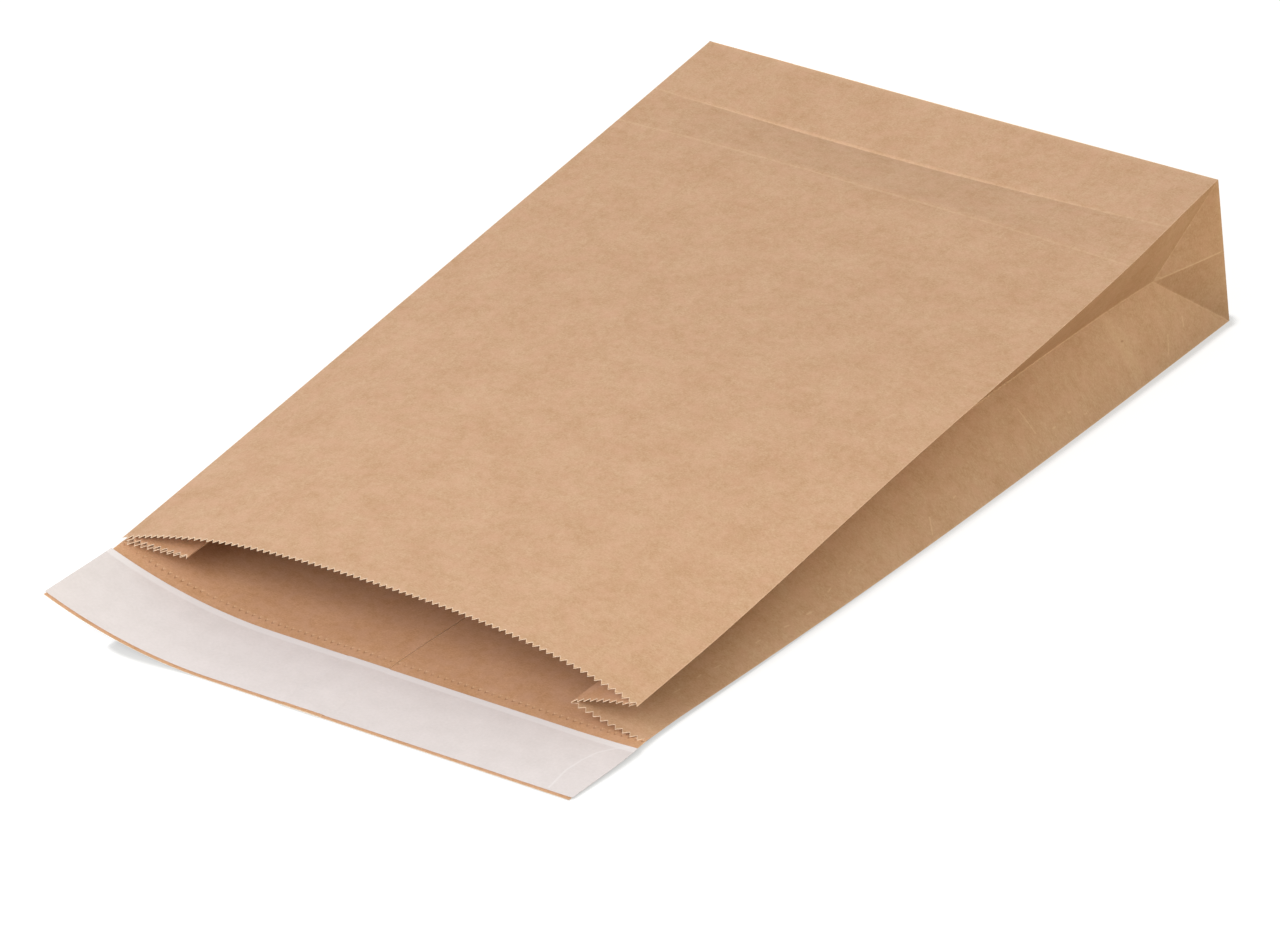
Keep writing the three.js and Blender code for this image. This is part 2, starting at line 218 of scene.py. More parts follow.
class OpenBag:
    """Where each point of the flat pattern lies on the bag as it stands open, in metres.

    The pattern's first coordinate runs round the tube from the seam's hidden edge, over the right
    half of the back, the right gusset, the front, the left gusset and the left half of the back.
    The second, u, runs from the base fold to the mouth and on to the flap's end.
    """

    def __init__(self, pattern, stance):
        self.pattern = {key: getattr(pattern, key) for key in pattern.__annotations__}
        self.stance = {key: getattr(stance, key) for key in stance.__annotations__}
        self.width = pattern.width
        self.length = pattern.bag_length
        self.gusset = pattern.gusset
        self.half = pattern.gusset / 2
        self.fold_gap = 3 * pattern.paper
        self.flap_end = pattern.bag_length + pattern.flap
        self.back_half = pattern.width / 2 + pattern.seam / 2
        self.right_back_fold = self.back_half
        self.right_front_fold = self.right_back_fold + self.gusset
        self.left_front_fold = self.right_front_fold + self.width
        self.left_back_fold = self.left_front_fold + self.gusset
        self.round = self.left_back_fold + self.back_half
        self.middle = (self.right_front_fold + self.left_front_fold) / 2
        cells = 2 * round(self.half / (self.width / pattern.teeth))
        self.knife_zones = (
            (self.right_back_fold, self.right_front_fold, cells),
            (self.right_front_fold, self.left_front_fold, pattern.teeth),
            (self.left_front_fold, self.left_back_fold, cells))
        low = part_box("paper_bag")[0]
        self.shift_x = 0
        self.shift_x = low.x - self.back_point(0, self.length)[0]
        self.shift_y = low.y + self.flap_end + self.stance["set_back"]

    def open_share(self, u):
        return clamp(u / self.length)

    def drift(self, u):
        return self.shift_x - self.stance["drift"] * self.open_share(u) ** 3

    def back_point(self, fraction, u):
        """Outer face of the back panel, flat on the floor but for its curled left edge."""
        st = self.stance
        across = (fraction - 0.5) * self.width
        rise = (st["mouth_left"] - st["left_gap"]) * smoothstep(u, self.length - st["curl_length"], self.length)
        into_curl = max(0, st["curl_span"] - self.width / 2 - across) / st["curl_span"]
        past_mouth = max(0, (u - self.length) / (self.flap_end - self.length))
        rise -= st["flap_sway"] * eased(FLAP_DROP, u / MM)
        bulge = st["back_bulge"] * math.sin(math.pi * self.open_share(u))
        bulge += st["flap_sway"] * eased(FLAP_SHIFT, u / MM) * smoothstep(across, -self.width / 2, self.width / 2)
        lift = st["right_lift"] * self.open_share(u) ** 4 * (1 - past_mouth)
        span = st["right_lift_span"]
        into_lift = max(0, across - self.width / 2 + span) / span
        pulled_in = 2 * rise ** 2 * into_curl ** 3 / (3 * st["curl_span"])
        return across + pulled_in + bulge + self.drift(u), rise * into_curl ** 2 + lift * into_lift ** 2

    def crease_height(self, fraction, u):
        """The first crease lies in a dip and the second on a low ridge."""
        near = self.stance["near_crease"] + self.stance["crease_slant"] * (1 - fraction)
        far = self.stance["far_crease"]
        dip = u / near if u < near else (far - u) / (far - near)
        ridge = max(0, min((u - near) / (far - near), 1 - (u - far) / far))
        bend = 0
        for crease, share in ((near, 1 - 0.6 * fraction), (far, 0.5)):
            past = (u - crease) / MM
            if -1.2 < past <= 0:
                bend += share * (1 + past / 1.2)
            elif 0 < past < 8:
                bend += share * (1 - past / 8) ** 2
        return (self.stance["crease_ridge"] * ridge - self.stance["crease_dip"] * max(0, dip)
                - self.stance["crease_bite"] * bend)

    def front_point(self, fraction, u):
        """Outer face of the front panel, arched above its corners."""
        st = self.stance
        share = self.open_share(u)
        arch = st["bow"] * share ** st["bow_growth"]
        shape = st["bow_shape"]
        chord = self.width - 2 * arch ** 2 * shape ** 2 / ((2 * shape - 1) * self.width)
        left = mix(self.gusset, st["mouth_left"], share) + st["edge_sway"] * eased(LEFT_EDGE, u / MM)
        right = mix(self.gusset, st["mouth_right"], share) + st["edge_sway"] * eased(RIGHT_EDGE, u / MM)
        side = abs(2 * fraction - 1)
        z = mix(left, right, fraction) + arch * (1 - side ** shape) + self.crease_height(fraction, u) * (1 - side ** 2)
        return (fraction - 0.5) * chord + self.drift(u), z

    def gusset_fold(self, fraction, u):
        """Upper and lower line of the gusset's inward fold."""
        inward = 1 if fraction == 0 else -1
        top = Vector(self.front_point(fraction, max(u, self.half)))
        bottom = Vector(self.back_point(fraction, max(u, self.half)))
        reach = math.sqrt(max(self.half ** 2 - (top - bottom).length_squared / 4, 0))
        lift = self.stance["left_fold_lift"] * self.open_share(u) ** 3 if fraction == 0 else 0
        centre = (top + bottom) / 2 + Vector((inward * reach, lift))
        share = clamp(u / self.half)
        gap = Vector((0, self.fold_gap / 2)) * (1 - 0.7 * self.open_share(u) if fraction == 0 else 1)
        upper = Vector(self.front_point(fraction, 0)).lerp(centre + gap, share)
        lower = Vector(self.back_point(fraction, 0)).lerp(centre - gap, share)
        return upper, lower

    def gusset_point(self, fraction, down, u):
        """A point of a gusset, down from the front panel's edge."""
        upper, lower = self.gusset_fold(fraction, u)
        layer = min(u, self.half - self.fold_gap / 2)
        bow = smoothstep(u, self.length / 2, self.length) if fraction == 1 else 0
        if down <= layer and layer > 0:
            share = down / layer
            spot = Vector(self.front_point(fraction, u)).lerp(upper, share)
            return spot + Vector((0, bow * self.stance["upper_bow"] * math.sin(math.pi * share)))
        if down >= self.gusset - layer and layer > 0:
            share = (self.gusset - down) / layer
            spot = Vector(self.back_point(fraction, u)).lerp(lower, share)
            bow = self.stance["lower_bow"] * eased(LOWER_BOW, u / MM) * (layer / self.half) ** 2
            if fraction == 0:
                bow *= 1 - self.open_share(u)
            return spot + Vector((0, bow * math.sin(math.pi * share ** 0.8)))
        spot = upper.lerp(lower, (down - layer) / (self.gusset - 2 * layer))
        if u < self.half:
            from_middle = abs(down - self.half) / (self.half - layer)
            bulge = self.stance["knuckle"] * math.sin(math.pi * u / self.half) * max(0, 1 - from_middle)
            spot += Vector((bulge if fraction == 1 else -bulge, 0.6 * bulge))
        return spot

    def tooth(self, around):
        """The knife's zigzag on the tube, from -0.5 in a notch to 0.5 at a tip. The front's corners are blunt."""
        for start, end, teeth in self.knife_zones:
            if start - 1e-6 < around < end + 1e-6:
                place = (around - start) / (end - start) * teeth
                corner = min(abs(around - self.right_front_fold), abs(around - self.left_front_fold)) < 1e-5
                return 0.1 if corner else abs(2 * (place % 1) - 1) - 0.5

    def seam_rise(self, fraction):
        """The lap's inner layer climbs by one paper on to the outer layer."""
        beyond = abs(fraction - 0.5) * self.width - self.pattern["seam"] / 2
        return 1.1 * self.pattern["paper"] * clamp(1 - beyond / self.pattern["seam_step"])

    def section_point(self, around, u):
        """Place in the section at u of a pattern point, as x and z."""
        if around <= self.right_back_fold:
            return self.back_point(0.5 + (around - self.pattern["seam"] / 2) / self.width, u)
        if around <= self.right_front_fold:
            return self.gusset_point(1, self.right_front_fold - around, u)
        if around <= self.left_front_fold:
            return self.front_point((self.left_front_fold - around) / self.width, u)
        if around <= self.left_back_fold:
            return self.gusset_point(0, around - self.left_front_fold, u)
        fraction = (around - self.left_back_fold) / self.width
        x, z = self.back_point(fraction, u)
        return x, z + self.seam_rise(fraction)

    def to_space(self, x, z, u):
        lean = self.stance["base_lean"] + self.stance["right_lean"] * smoothstep(x, -self.width / 2, 0.02)
        lean *= (z / self.gusset) * (1 - self.open_share(u))
        return Vector((x, self.shift_y - u - lean, z))

    def place(self, around, u):
        x, z = self.section_point(around, u)
        return self.to_space(x, z, u)

    def on_flap(self, fraction, u, height):
        """A point at a height above the back panel's inner face."""
        x, z = self.back_point(fraction, u)
        return self.to_space(x, z + self.seam_rise(fraction) + self.pattern["paper"] + height, u)


def even_steps(low, high, step):
    """Even stops from low to high, no further apart than step."""
    count = max(1, math.ceil((high - low) / step - 1e-6))
    return [mix(low, high, i / count) for i in range(count + 1)]


def joined(*runs):
    """Runs of stops laid end to end, with each shared end once."""
    stops = list(runs[0])
    for run in runs[1:]:
        stops += run[1:]
    return stops


def pattern_grid(mesh, columns, rows):
    """A flat grid with its vertices at the given columns and rows. Returns its new vertices."""
    made = bmesh.ops.create_grid(mesh, x_segments=len(columns) - 1, y_segments=len(rows) - 1, size=0.5)
    for vert in made["verts"]:
        column = round((vert.co.x + 0.5) * (len(columns) - 1))
        row = round((vert.co.y + 0.5) * (len(rows) - 1))
        vert.co = (columns[column], rows[row], 0)
    return made["verts"]


def cut_pattern(mesh, point, normal, keep=None):
    """Cuts the flat pattern along a line, within the faces that keep accepts."""
    faces = [f for f in mesh.faces if keep is None or keep(f.calc_center_median())]
    edges = {e for f in faces for e in f.edges}
    verts = {v for f in faces for v in f.verts}
    geometry = list(verts) + list(edges) + faces
    bmesh.ops.bisect_plane(
        mesh, geom=geometry, dist=1e-5, plane_co=(*point, 0), plane_no=(*normal, 0),
        clear_inner=False, clear_outer=False)


def add_object(name, mesh, material):
    """Turns a finished bmesh into a piece of the bag."""
    data = bpy.data.meshes.new(name)
    mesh.to_mesh(data)
    mesh.free()
    data.materials.append(material)
    piece = bpy.data.objects.new(name, data)
    bpy.context.scene.collection.objects.link(piece)
    return piece


def finish_piece(piece, node):
    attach(piece, "root")
    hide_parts(node)


def give_thickness(piece, thickness, inner_material=0, edge_material=0):
    """Thickens a sheet inwards. Its inner face and its cut edges take the given slots."""
    solidify = piece.modifiers.new("Paper thickness", "SOLIDIFY")
    solidify.thickness = thickness
    solidify.offset = -1
    solidify.use_even_offset = False
    solidify.material_offset = inner_material
    solidify.material_offset_rim = edge_material


UV_LIFT = 0.05  # keeps the bottom flaps, where u is negative, inside the map


def write_pattern_map(mesh):
    """The flat pattern's own coordinates, in metres, become the UV map."""
    layer = mesh.loops.layers.uv.new("pattern")
    for face in mesh.faces:
        for loop in face.loops:
            loop[layer].uv = (loop.vert.co.x, loop.vert.co.y + UV_LIFT)


def tube_columns(bag):
    """Columns round the tube, with one tooth of the knife to each column of the front."""
    teeth = int(bag.pattern["teeth"])
    pitch = bag.width / teeth
    gusset_cells = bag.knife_zones[0][2]
    return joined(
        even_steps(0, bag.right_back_fold, pitch),
        [mix(bag.right_back_fold, bag.right_front_fold, i / gusset_cells) for i in range(gusset_cells + 1)],
        [mix(bag.right_front_fold, bag.left_front_fold, i / teeth) for i in range(teeth + 1)],
        [mix(bag.left_front_fold, bag.left_back_fold, i / gusset_cells) for i in range(gusset_cells + 1)],
        even_steps(bag.left_back_fold, bag.round, pitch))


def tube_rows(bag):
    """Rows along the bag. Below the bottom's triangle they match the gusset's columns."""
    pitch = bag.width / bag.pattern["teeth"]
    cells = round(bag.half / pitch)
    bottom = [bag.half * i / cells for i in range(cells + 1)]
    return joined(
        bottom, even_steps(bag.half, bag.length, 3.6 * MM), even_steps(bag.length, bag.flap_end, 4 * MM))


def cut_folds(mesh, bag):
    """Edges where the paper bends: creases, seam, gusset folds and the bottom's diagonals."""
    on_front = lambda c: bag.right_front_fold < c.x < bag.left_front_fold
    slant = bag.stance["crease_slant"] / bag.width
    for offset in (-1.2, 0, 1.2, 2.6, 4.2, 6):
        near = bag.stance["near_crease"] + offset * MM
        cut_pattern(mesh, (bag.right_front_fold, near), (-slant, 1), on_front)
        cut_pattern(mesh, (0, bag.stance["far_crease"] + offset * MM), (0, 1))
    for fold in (bag.right_front_fold - bag.half, bag.left_back_fold - bag.half):
        for side in (-1, 1):
            cut_pattern(mesh, (fold + side * bag.fold_gap / 2, 0), (1, 0))
    seam_start = bag.round - bag.pattern["seam"]
    for stop in (seam_start, seam_start - bag.pattern["seam_step"]):
        cut_pattern(mesh, (stop, 0), (1, 0))
    for start, end in ((bag.right_back_fold, bag.right_front_fold), (bag.left_front_fold, bag.left_back_fold)):
        inside = lambda c, a=start, b=end: a < c.x < b and c.y < bag.half
        cut_pattern(mesh, (start, 0), (1, -1), inside)
        cut_pattern(mesh, (end, 0), (1, 1), inside)


def cut_mouth(mesh, bag):
    """Only the back panel goes on past the mouth, as the flap. The saw knife leaves its teeth."""
    def beyond(face):
        centre = face.calc_center_median()
        return centre.y > bag.length and bag.right_back_fold < centre.x < bag.left_back_fold
    bmesh.ops.delete(mesh, geom=[f for f in mesh.faces if beyond(f)], context="FACES")
    at_mouth = [
        e for e in mesh.edges
        if e.is_boundary and all(abs(v.co.y - bag.length) < 1e-6 for v in e.verts)]
    bmesh.ops.subdivide_edges(mesh, edges=[e for e in at_mouth if e.calc_length() > 2 * bag.fold_gap], cuts=1)
    for vert in mesh.verts:
        on_cut = abs(vert.co.y - bag.length) < 1e-6
        if on_cut and bag.right_back_fold + 1e-5 < vert.co.x < bag.left_back_fold - 1e-5:
            vert.co.y += bag.tooth(vert.co.x) * bag.pattern["tooth_depth"]


def fold_lines(bag):
    return (
        bag.right_back_fold, bag.right_front_fold - bag.half - bag.fold_gap / 2,
        bag.right_front_fold - bag.half + bag.fold_gap / 2, bag.right_front_fold, bag.left_front_fold,
        bag.left_back_fold - bag.half - bag.fold_gap / 2, bag.left_back_fold - bag.half + bag.fold_gap / 2,
        bag.left_back_fold)


def mark_folds(mesh):
    """Edges where the paper bends sharply, or ends, are shaded as edges."""
    for edge in mesh.edges:
        edge.smooth = len(edge.link_faces) == 2 and edge.calc_face_angle(0) < math.radians(12)


def waves(bag, around, u):
    """Height of the paper's gentle waves, which die out at the folds."""
    place = Vector((around, u, 0)) / (95 * MM)
    fine = Vector((around, u, 0)) / (31 * MM)
    height = noise.noise(place + Vector((3.1, 7.7, 0))) + 0.3 * noise.noise(fine + Vector((5.5, 1.2, 0)))
    edge = min(abs(around - fold) for fold in fold_lines(bag))
    from_base = min(u, abs(u - bag.stance["near_crease"]), abs(u - bag.stance["far_crease"]))
    return bag.stance["waviness"] * height * smoothstep(edge, 0, 22 * MM) * smoothstep(from_base, 0, 16 * MM)


def stand_open(mesh, bag, verts):
    """Moves the flat pattern to where it lies on the open bag."""
    flat = {v: (v.co.x, v.co.y) for v in verts}
    for vert, (around, u) in flat.items():
        vert.co = bag.place(around, u)
    mesh.normal_update()
    front = (bag.right_back_fold, bag.left_back_fold)
    for vert, (around, u) in flat.items():
        if front[0] < around < front[1]:
            vert.co += vert.normal * waves(bag, around, u)


def absorb(mesh, part):
    """Moves a finished part into another mesh."""
    holder = bpy.data.meshes.new("part")
    part.to_mesh(holder)
    part.free()
    mesh.from_mesh(holder)
    bpy.data.meshes.remove(holder)


def face_outward(part):
    """Turns a bottom part's faces away from the bag."""
    for face in part.faces:
        face.normal_update()
        if face.normal.y < 0:
            face.normal_flip()


def bottom_flap(bag, from_front, layers_below):
    """One long flap of the bottom, a trapezoid folded from the base edge and glued flat."""
    part = bmesh.new()
    teeth = int(bag.pattern["teeth"])
    depth = bag.half + bag.pattern["bottom_overlap"] / 2
    columns = [bag.width * (i / teeth - 0.5) for i in range(teeth + 1)]
    pattern_grid(part, columns, joined([0, 0.8 * MM], even_steps(0.8 * MM, depth, 4 * MM)))
    for side in (-1, 1):
        geometry = list(part.verts) + list(part.edges) + list(part.faces)
        bmesh.ops.bisect_plane(
            part, geom=geometry, dist=1e-6, plane_co=(side * bag.width / 2, 0, 0),
            plane_no=(side, 1, 0), clear_outer=True)
    centre = bag.middle if from_front else bag.round - bag.back_half
    layer = part.loops.layers.uv.new("pattern")
    for face in part.faces:
        for loop in face.loops:
            loop[layer].uv = (centre + loop.vert.co.x * 0.9, UV_LIFT - loop.vert.co.y)
    for vert in part.verts:
        x, inward = vert.co.x, vert.co.y
        vert.co = bag.to_space(x + bag.shift_x, bag.gusset - inward if from_front else inward, 0)
        vert.co.y += layers_below * bag.pattern["paper"] * clamp(inward / (0.8 * MM))
    face_outward(part)
    return part


def side_tuck(bag, side):
    """The end of a gusset, folded in under the two flaps."""
    part = bmesh.new()
    cells = 2 * round(bag.half / (bag.width / bag.pattern["teeth"]))
    reach = bag.half + bag.pattern["bottom_overlap"] / 2
    pattern_grid(part, even_steps(0, reach, 5 * MM), [bag.gusset * i / cells for i in range(cells + 1)])
    fold = bag.right_back_fold if side > 0 else bag.left_front_fold
    layer = part.loops.layers.uv.new("pattern")
    for face in part.faces:
        for loop in face.loops:
            loop[layer].uv = (fold + loop.vert.co.y, UV_LIFT - loop.vert.co.x)
    for vert in part.verts:
        vert.co = bag.to_space(side * (bag.width / 2 - vert.co.x) + bag.shift_x, vert.co.y, 0)
    face_outward(part)
    return part


def build_bag(bag):
    """The whole bag as one folded sheet, without its thickness."""
    mesh = bmesh.new()
    pattern_grid(mesh, tube_columns(bag), tube_rows(bag))
    cut_folds(mesh, bag)
    cut_mouth(mesh, bag)
    write_pattern_map(mesh)
    stand_open(mesh, bag, list(mesh.verts))
    for part in (
            side_tuck(bag, -1), side_tuck(bag, 1), bottom_flap(bag, False, 1), bottom_flap(bag, True, 2)):
        absorb(mesh, part)
    bmesh.ops.remove_doubles(mesh, verts=mesh.verts, dist=1e-5)
    mark_folds(mesh)
    for face in mesh.faces:
        face.smooth = True
    return mesh


def build_strip(bag, start, end, height, overhang=0):
    """A layer laid over the flap, between two distances from the base."""
    mesh = bmesh.new()
    across = even_steps(-overhang, bag.width + overhang, 2.5 * MM)
    pattern_grid(mesh, across, even_steps(start, end, 2.5 * MM))
    for side in (-1, 1):
        for offset in (0, bag.pattern["seam_step"]):
            line = bag.width / 2 + side * (bag.pattern["seam"] / 2 + offset)
            cut_pattern(mesh, (line, 0), (1, 0))
    write_pattern_map(mesh)
    for vert in mesh.verts:
        fraction, u = vert.co.x / bag.width, vert.co.y
        vert.co = bag.on_flap(fraction, u, height)
    bmesh.ops.reverse_faces(mesh, faces=mesh.faces)
    mark_folds(mesh)
    for face in mesh.faces:
        face.smooth = True
    return mesh


def new_material(name):
    """An empty node material with its shader and output."""
    material = bpy.data.materials.new(name)
    material.use_nodes = True
    tree = material.node_tree
    tree.nodes.clear()
    shader = tree.nodes.new("ShaderNodeBsdfPrincipled")
    output = tree.nodes.new("ShaderNodeOutputMaterial")
    tree.links.new(shader.outputs["BSDF"], output.inputs["Surface"])
    return material, shader


def add_node(tree, kind, settings=None, **inputs):
    """Adds a node with its settings, and its inputs as values or links."""
    node = tree.nodes.new(kind)
    for key, value in (settings or {}).items():
        setattr(node, key, value)
    for key, value in inputs.items():
        name = key.replace("_", " ").title() if not key.startswith("i") else int(key[1:])
        socket = node.inputs[name]
        if isinstance(value, bpy.types.NodeSocket):
            tree.links.new(value, socket)
        else:
            socket.default_value = value
    return node


def math_node(tree, operation, *values):
    inputs = {f"i{i}": value for i, value in enumerate(values)}
    return add_node(tree, "ShaderNodeMath", {"operation": operation}, **inputs).outputs[0]


def spread(tree, value, low, high):
    """A value's share of the way from low to high, held between 0 and 1."""
    node = add_node(tree, "ShaderNodeMapRange", None, i0=value, i1=low, i2=high)
    return node.outputs[0]


def noise_value(tree, vector, scale, detail=2.0, roughness=0.5, distortion=0.0):
    node = add_node(
        tree, "ShaderNodeTexNoise", None, Vector=vector, Scale=scale, Detail=detail,
        Roughness=roughness, Distortion=distortion)
    return node.outputs["Fac"]


def mix_colour(tree, factor, first, second):
    return add_node(tree, "ShaderNodeMix", {"data_type": "RGBA"}, i0=factor, i6=first, i7=second).outputs[2]


def pattern_place(tree):
    """The flat pattern's two coordinates in millimetres, and both as one vector."""
    uv = add_node(tree, "ShaderNodeUVMap", {"uv_map": "pattern"}).outputs["UV"]
    parts = add_node(tree, "ShaderNodeSeparateXYZ", None, i0=uv)
    around = math_node(tree, "MULTIPLY", parts.outputs[0], 1000.0)
    along = math_node(tree, "MULTIPLY", math_node(tree, "SUBTRACT", parts.outputs[1], UV_LIFT), 1000.0)
    return around, along


def stretched(tree, around, along, across_scale, along_scale):
    """The pattern's place with its two directions scaled apart."""
    return add_node(
        tree, "ShaderNodeCombineXYZ", None, i0=math_node(tree, "MULTIPLY", around, across_scale),
        i1=math_node(tree, "MULTIPLY", along, along_scale)).outputs[0]


def line_share(tree, distance, half_width):
    """1 on a line, falling to 0 at half_width from it."""
    return math_node(tree, "SUBTRACT", 1.0, spread(tree, math_node(tree, "ABSOLUTE", distance), 0.0, half_width))


def mix_value(tree, share, first, second):
    return add_node(tree, "ShaderNodeMix", None, i0=share, i2=first, i3=second).outputs[0]


def highest(tree, values):
    top = values[0]
    for value in values[1:]:
        top = math_node(tree, "MAXIMUM", top, value)
    return top


def zigzag(tree, distance, pitch, depth):
    """The saw knife's line over the distance from a fold, in mm."""
    wave = math_node(tree, "PINGPONG", math_node(tree, "DIVIDE", distance, pitch), 0.5)
    return math_node(tree, "MULTIPLY_ADD", wave, -2 * depth, depth / 2)


def dash(tree, place, start, end, half_width):
    """1 on a short straight mark between two points, falling to 0 at half_width from it."""
    span = Vector(end) - Vector(start)
    from_start = add_node(tree, "ShaderNodeVectorMath", {"operation": "SUBTRACT"}, i0=place, i1=(*start, 0)).outputs[0]
    share = add_node(
        tree, "ShaderNodeVectorMath", {"operation": "DOT_PRODUCT"}, i0=from_start,
        i1=(*(span / span.length_squared), 0)).outputs["Value"]
    share = add_node(tree, "ShaderNodeClamp", None, i0=share).outputs[0]
    on_mark = add_node(
        tree, "ShaderNodeVectorMath", {"operation": "SCALE"}, i0=(*span, 0), Scale=share).outputs[0]
    distance = add_node(
        tree, "ShaderNodeVectorMath", {"operation": "DISTANCE"}, i0=from_start, i1=on_mark).outputs["Value"]
    return line_share(tree, distance, half_width)


# Painted highlights on short wrinkles of the right gusset's lower layer, as pattern points in mm.
GUSSET_WRINKLE_HIGHLIGHTS = (
    ((154.7, 127.8), (143.4, 128.6)), ((141.5, 201.1), (136.1, 205.9)), ((147, 25.7), (143.2, 27.1)),
    ((143.6, 37.8), (137.4, 41.9)), ((142.2, 183.2), (142, 185)), ((140.9, 117.8), (141, 119.4)),
    ((142, 106.2), (142.2, 107.4)), ((138.2, 99), (138.4, 100.2)),
    ((142.6, 249.8), (142, 252)), ((141.4, 263.9), (140.9, 266.3)), ((138.5, 279.6), (138.8, 282.4)),
    ((139.3, 292.6), (139.7, 294.8)), ((141.1, 307.7), (141.2, 310.1)), ((142.4, 330), (142.8, 332.8)),
    ((143.9, 339.8), (143.9, 341.6)), ((144.2, 352), (144.5, 354.6)), ((167.6, 31.9), (167.1, 30)),
    ((166.5, 2), (166.5, 30)))


def fold_wear_and_highlight(tree, bag, around, along):
    """Fibres rubbed pale along the gusset folds, the bottom's diagonals, the base fold and the two cross creases;
    along the folds the pale line is also a painted highlight.
    """
    side = math_node(tree, "ABSOLUTE", math_node(tree, "SUBTRACT", around, bag.middle / MM))
    front_edge = bag.width / 2 / MM
    gusset_fold = front_edge + bag.half / MM
    wander = noise_value(tree, stretched(tree, around, along, 0.05, 0.05), 1.0, 3.0)
    drift = math_node(tree, "MULTIPLY", math_node(tree, "SUBTRACT", wander, 0.5), 1.2)
    lines = [
        line_share(tree, math_node(tree, "SUBTRACT", side, stop), 0.55)
        for stop in (front_edge, gusset_fold, front_edge + bag.gusset / MM)]
    on_front = math_node(tree, "LESS_THAN", side, front_edge)
    on_gusset = math_node(tree, "LESS_THAN", side, front_edge + bag.gusset / MM)
    faint = math_node(tree, "MAXIMUM", on_front, math_node(tree, "MULTIPLY", on_gusset, 0.3))
    slant = bag.stance["crease_slant"] / bag.width
    near = math_node(
        tree, "MULTIPLY_ADD", around, slant, (bag.stance["near_crease"] - bag.right_front_fold * slant) / MM)
    rubbed = math_node(tree, "MULTIPLY", on_front, 0.65)
    slightly_rubbed = math_node(tree, "MULTIPLY", faint, 0.6)
    for crease, share in ((near, rubbed), (bag.stance["far_crease"] / MM, slightly_rubbed)):
        wandering = math_node(tree, "ADD", math_node(tree, "SUBTRACT", along, crease), drift)
        lines.append(math_node(tree, "MULTIPLY", line_share(tree, wandering, 0.8), share))
    from_fold = math_node(tree, "ABSOLUTE", math_node(tree, "SUBTRACT", side, gusset_fold))
    diagonal = math_node(tree, "SUBTRACT", math_node(tree, "ADD", from_fold, along), bag.half / MM)
    lines.append(line_share(tree, diagonal, 0.8))
    lines.append(line_share(tree, along, 0.6))
    lines.append(math_node(tree, "MULTIPLY", line_share(tree, along, 3.0), 0.5))
    breaks = spread(tree, noise_value(tree, stretched(tree, around, along, 0.4, 0.4), 1.0, 3.0), 0.1, 0.55)
    return math_node(tree, "MULTIPLY", highest(tree, lines), breaks)


def cut_fibres_and_highlight(tree, bag, around, along):
    """Torn fibre ends beside the saw knife's cut, on the front and the gussets, painted paler as a highlight along the
    teeth.
    """
    side = math_node(tree, "ABSOLUTE", math_node(tree, "SUBTRACT", around, bag.middle / MM))
    front_edge = bag.width / 2 / MM
    on_front = math_node(tree, "LESS_THAN", side, front_edge)
    cells = bag.knife_zones[0][2]
    pitch = mix_value(tree, on_front, bag.gusset / MM / cells, bag.width / MM / bag.pattern["teeth"])
    cut = zigzag(tree, math_node(tree, "SUBTRACT", side, front_edge), pitch, bag.pattern["tooth_depth"] / MM)
    from_cut = math_node(tree, "SUBTRACT", math_node(tree, "SUBTRACT", along, bag.length / MM), cut)
    on_tube = math_node(tree, "LESS_THAN", side, front_edge + bag.gusset / MM)
    return math_node(tree, "MULTIPLY", line_share(tree, from_cut, 0.5), on_tube)


def knife_marks(tree, bag, around, along):
    """The saw knife's row of dented spots where its tips pressed on the back panel, painted dark as their shade, and
    their raised edges, painted pale as a highlight.
    """
    depth = bag.pattern["tooth_depth"] / MM
    line = zigzag(tree, around, bag.width / MM / bag.pattern["teeth"], depth)
    from_cut = math_node(tree, "SUBTRACT", math_node(tree, "SUBTRACT", along, bag.length / MM), line)
    uneven = spread(tree, noise_value(tree, stretched(tree, around, along, 0.12, 0.12), 1.0, 2.0), 0.15, 0.5)
    tips = math_node(tree, "MULTIPLY", spread(tree, line, 0.0, 0.3 * depth), uneven)
    dents_and_shadow = math_node(tree, "MULTIPLY", line_share(tree, from_cut, 0.7), tips)
    rim_highlights = math_node(tree, "MULTIPLY", line_share(tree, math_node(tree, "ADD", from_cut, 0.9), 0.6), tips)
    return dents_and_shadow, rim_highlights


